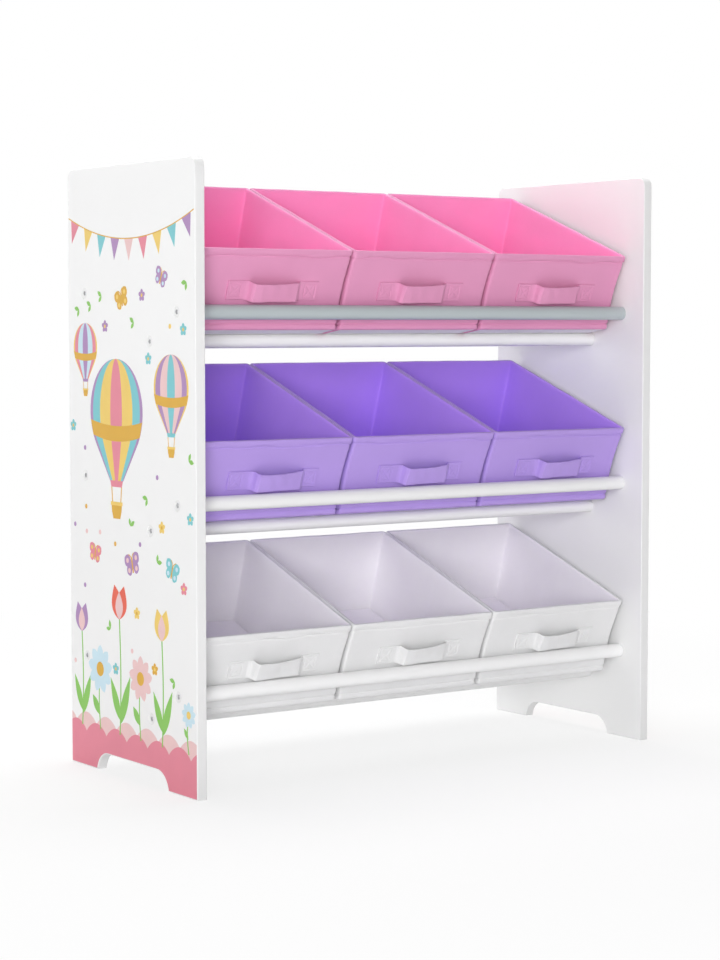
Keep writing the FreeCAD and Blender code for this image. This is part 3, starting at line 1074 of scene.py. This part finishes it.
def makeStrap(box):
    look = strapLook
    strap = binPoints(box["name"] + "_handle") - box["origin"]
    low = strap.min(axis=0)
    high = strap.max(axis=0)
    centre = (low[0] + high[0]) / 2
    half = (high[0] - low[0]) / 2
    reach = -low[1] - look["thickness"]
    down, up = look["spread"]
    middle = (low[2] + high[2] + up - down) / 2 + box["strapUp"]
    wide = (high[2] - low[2] + up + down) / 2
    thick = look["thickness"] / 2
    edge = look["edgeRound"]
    fine = np.linspace(-half, half, look["marks"])
    shares = fine / half - look["loopShift"][box["tier"]]
    fineUpper, fineLower = (softLine(look[part], shares, fine[1] - fine[0]) * reach
                            for part in ("upper", "lower"))
    fineRun = runningSum(np.hypot(np.diff(fine), np.diff(fineUpper + fineLower) / 2))
    run = np.linspace(0, fineRun[-1], look["stations"] + 1)
    xs, upper, lower = (np.interp(run, fineRun, line) for line in (fine, fineUpper, fineLower))
    strips = np.linspace(-wide + edge, wide - edge, look["strips"] + 1)
    flat = look["edgeFlat"] * thick
    outline = [(across, thick) for across in strips] + [(wide, flat), (wide, -flat)]
    outline += [(across, -thick) for across in strips[::-4]] + [(-wide, -flat), (-wide, flat)]
    box["strap"] = {"centre": centre, "half": half, "middle": middle, "wide": wide}
    rows = []
    for across, depth in outline:
        share = (across + wide) / (2 * wide)
        out = lower + (upper - lower) * share
        loose = np.minimum(1.0, out / reach)
        wrinkle = np.sin(xs / look["crumpleRun"] + look["crumpleLean"] * share + box["waves"][2][1])
        out = out + look["crumple"] * loose * wrinkle
        slopes = pointsOf(np.gradient(xs), np.gradient(out))
        slopes /= np.linalg.norm(slopes, axis=1)[:, None]
        face = depth - tabGroove(xs, across, half, wide) * (depth > 0)
        h = middle + across - look["droop"] * loose * (1 - (xs / half) ** 2)
        skin = frontSkin(box, centre + xs, middle + across)
        u = skin - out - thick - face * slopes[:, 0]
        rows.append(pointsOf(centre + xs - face * slopes[:, 1], u, h))
    points = np.stack(rows, axis=1).reshape(-1, 3)
    turn = len(outline)
    girth = girthMarks(outline)
    faces = []
    uvs = []
    for step in range(len(xs) - 1):
        for place in range(turn):
            after = (place + 1) % turn
            this, following = step * turn, (step + 1) * turn
            faces.append((this + place, following + place, following + after, this + after))
            left, right = run[step], run[step + 1]
            bottom, top = girth[place], girth[place + 1]
            uvs += [(left, bottom), (right, bottom), (right, top), (left, top)]
    faces.append(tuple(range(turn)))
    faces.append(tuple(range(len(points) - 1, len(points) - 1 - turn, -1)))
    uvs += [(points[corner][0], points[corner][2]) for face in faces[-2:] for corner in face]
    binPiece(box, "strap", points, faces, ("cloth",), ("handle",), uvs)


# Stitching: short rounded stitches along the hem, the bottom seam and the strap's tabs
stitchLook = {
    "length": 2.5 * mm,
    "pitch": 3.3 * mm,
    "radius": 0.24 * mm,
    "rings": ((-0.36, 0.8), (0, 1), (0.36, 0.8)),  # shares of the length and of the radius
    "sides": 5,
    "hemInset": 1.7 * mm,
    "seamUp": 0.9 * mm,
    "seamInset": 0.1 * mm,
    "tabSunk": 0.7,  # share of the groove's depth
}


def pointAlong(run, path, at):
    return np.array([np.interp(at, run, path[:, axis]) for axis in range(3)])


def sew(path, outward, closed, points, faces):
    look = stitchLook
    reach = look["length"] / 2
    sides = look["sides"]
    path = np.asarray(path)
    outward = np.asarray(outward)
    if closed:
        path = np.concatenate([path, path[:1]])
        outward = np.concatenate([outward, outward[:1]])
    run = runningSum(np.linalg.norm(np.diff(path, axis=0), axis=1))
    count = max(2, round(run[-1] / look["pitch"]))
    for index in range(count):
        middle = (index + 0.5) * run[-1] / count
        start, centre, end = (pointAlong(run, path, middle + step) for step in (-reach, 0, reach))
        out = pointAlong(run, outward, middle)
        along = (end - start) / np.linalg.norm(end - start)
        beside = np.cross(along, out)
        first = len(points)
        points.append(centre - along * reach)
        for share, wide in look["rings"]:
            for side in range(sides):
                angle = 2 * math.pi * side / sides
                spoke = out * math.cos(angle) + beside * math.sin(angle)
                points.append(centre + along * share * look["length"] + spoke * wide * look["radius"])
        points.append(centre + along * reach)
        last = len(points) - 1
        for side in range(sides):
            after = (side + 1) % sides
            faces.append((first, first + 1 + after, first + 1 + side))
            for ring in range(len(look["rings"]) - 1):
                low = first + 1 + ring * sides
                high = low + sides
                faces.append((low + side, low + after, high + after, high + side))
            faces.append((last, last - sides + side, last - sides + after))


def makeStitching(box):
    look = stitchLook
    points = []
    faces = []
    hemClimb = 1 - (box["hemDepth"] - look["hemInset"]) / box["height"]
    outside, outward = wallRing(box, hemClimb, -hemLook["thickness"])
    outside[:, 2] += hemSag(box, turnShares(*outside.T[:2]))
    sew(outside, outward, True, points, faces)
    seamClimb = (binLook["seamHeight"] + look["seamUp"]) / box["height"]
    seam, outward = wallRing(box, seamClimb, look["seamInset"])
    sew(seam, outward, True, points, faces)
    strap = box["strap"]
    middle, long, tall = stitchBox(strap["half"], strap["wide"])
    for side in (-1, 1):
        inner, outer = (strap["centre"] + side * (middle + part) for part in (-long, long))
        low, high = strap["middle"] - tall, strap["middle"] + tall
        corners = [(outer, low), (inner, low), (inner, high), (outer, high)]
        lines = [*zip(corners, corners[1:] + corners[:1]), corners[::2], corners[1::2]]
        for (x0, h0), (x1, h1) in lines:
            ends = [(x0 + (x1 - x0) * share, h0 + (h1 - h0) * share) for share in (0, 0.5, 1)]
            skin = [frontSkin(box, x, h) - strapLook["thickness"] for x, h in ends]
            sunk = look["tabSunk"] * strapLook["grooveDepth"]
            path = [(x, out + sunk, h) for (x, h), out in zip(ends, skin)]
            sew(path, [(0, -1, 0)] * len(path), False, points, faces)
    binPiece(box, "stitching", points, faces, ("thread",))


for tierIndex, tier in enumerate(tierNames):
    for columnIndex, column in enumerate(columnNames):
        box = measureBin(tier, column, binLook["firstSeed"] + 10 * tierIndex + columnIndex)
        makeShell(box)
        makeHem(box)
        makeFloorBoard(box)
        makeStrap(box)
        makeStitching(box)
    print("bins sewn:", tier)


# Studio: a pale floor that runs to white, soft lamps and the photograph's camera
floorLook = {
    "reach": 12.0,
    "drop": 0.3 * mm,
    "colour": (0.95, 0.95, 0.95),
    "lift": 0.76,  # share of plain white that the camera sees under the rack
    "fadeStart": 0.45,  # from here outward the floor runs to plain white
    "fadeEnd": 1.4,
}
lampLook = {
    "key": {"place": (-2.9, -3.5, 0.8), "size": 1.8, "power": 112},
    "high": {"place": (-3.0, -2.4, 2.2), "size": 2.4, "power": 12},
    "top": {"place": (0.2, 0.5, 3.0), "size": 1.6, "power": 56},
    "front": {"place": (0.0, -5.0, 0.8), "size": 2.6, "power": 22},
    "right": {"place": (3.4, 0.2, 1.2), "size": 2.4, "power": 20},
    "rear": {"place": (0.3, 3.2, 1.8), "size": 2.4, "power": 24},
    "rearLeft": {"place": (-1.8, 2.9, 1.3), "size": 2.4, "power": 22},
}
skyStrength = 0.15
cameraLook = {
    "place": (-1.5603, -2.2020, 0.4993),
    "turn": 35.145,
    "dip": 3.869,
    "lens": 87.23,
    "sensor": 36.0,
}


def seenRays(wire):  # 1 where the camera looks, also by way of gloss or glass
    path = wire.node("LightPath", output="Is Camera Ray")
    return path + path.pick("Is Glossy Ray") + path.pick("Is Transmission Ray")


def makeFloor():
    material, wire = newFinish("studio floor")
    place = wire.node("TexCoord", output="Object")
    away = wire.node("VectorMath", {"operation": "LENGTH"}, {0: place}, output="Value")
    fade = away.step(floorLook["fadeStart"], floorLook["fadeEnd"])
    lit = wire.node("BsdfDiffuse", (), {"Color": floorLook["colour"]})
    white = wire.node("Emission", (), {"Color": (1, 1, 1), "Strength": 1.0})
    share = seenRays(wire) * (floorLook["lift"] + (1 - floorLook["lift"]) * fade)
    mixed = wire.node("MixShader", (), {0: share, 1: lit, 2: white})
    wire.node("OutputMaterial", (), {"Surface": mixed})
    reach = floorLook["reach"]
    mesh = bpy.data.meshes.new("studio_floor")
    corners = [(-reach, -reach, 0), (reach, -reach, 0), (reach, reach, 0), (-reach, reach, 0)]
    mesh.from_pydata(corners, [], [(0, 1, 2, 3)])
    mesh.materials.append(material)
    floor = bpy.data.objects.new("studio_floor", mesh)
    floor.location = (0, 0, cadLow.z - floorLook["drop"])
    scene.collection.objects.link(floor)


def makeSky():
    world = bpy.data.worlds.new("studio")
    world.use_nodes = True
    world.node_tree.nodes.clear()
    wire = Wire(world.node_tree)
    soft = wire.node("Background", (), {"Color": (1, 1, 1), "Strength": skyStrength})
    white = wire.node("Background", (), {"Color": (1, 1, 1), "Strength": 1.0})
    mixed = wire.node("MixShader", (), {0: seenRays(wire), 1: soft, 2: white})
    wire.node("OutputWorld", (), {"Surface": mixed})
    scene.world = world


def makeLamps():
    target = (cadLow + cadHigh) / 2
    for name, look in lampLook.items():
        lamp = bpy.data.lights.new(name + "_lamp", "AREA")
        lamp.shape = "DISK"
        lamp.size = look["size"]
        lamp.energy = look["power"]
        stand = bpy.data.objects.new(name + "_lamp", lamp)
        stand.location = look["place"]
        stand.rotation_euler = (target - stand.location).to_track_quat("-Z", "Y").to_euler()
        scene.collection.objects.link(stand)


def makeCamera():
    lens = bpy.data.cameras.new("camera")
    lens.lens = cameraLook["lens"]
    lens.sensor_width = cameraLook["sensor"]
    camera = bpy.data.objects.new("camera", lens)
    camera.location = cameraLook["place"]
    camera.rotation_euler = (math.radians(90 - cameraLook["dip"]), 0, math.radians(-cameraLook["turn"]))
    scene.collection.objects.link(camera)
    scene.camera = camera


makeFloor()
makeSky()
makeLamps()
makeCamera()
scene.view_settings.view_transform = "Standard"
print("studio set")
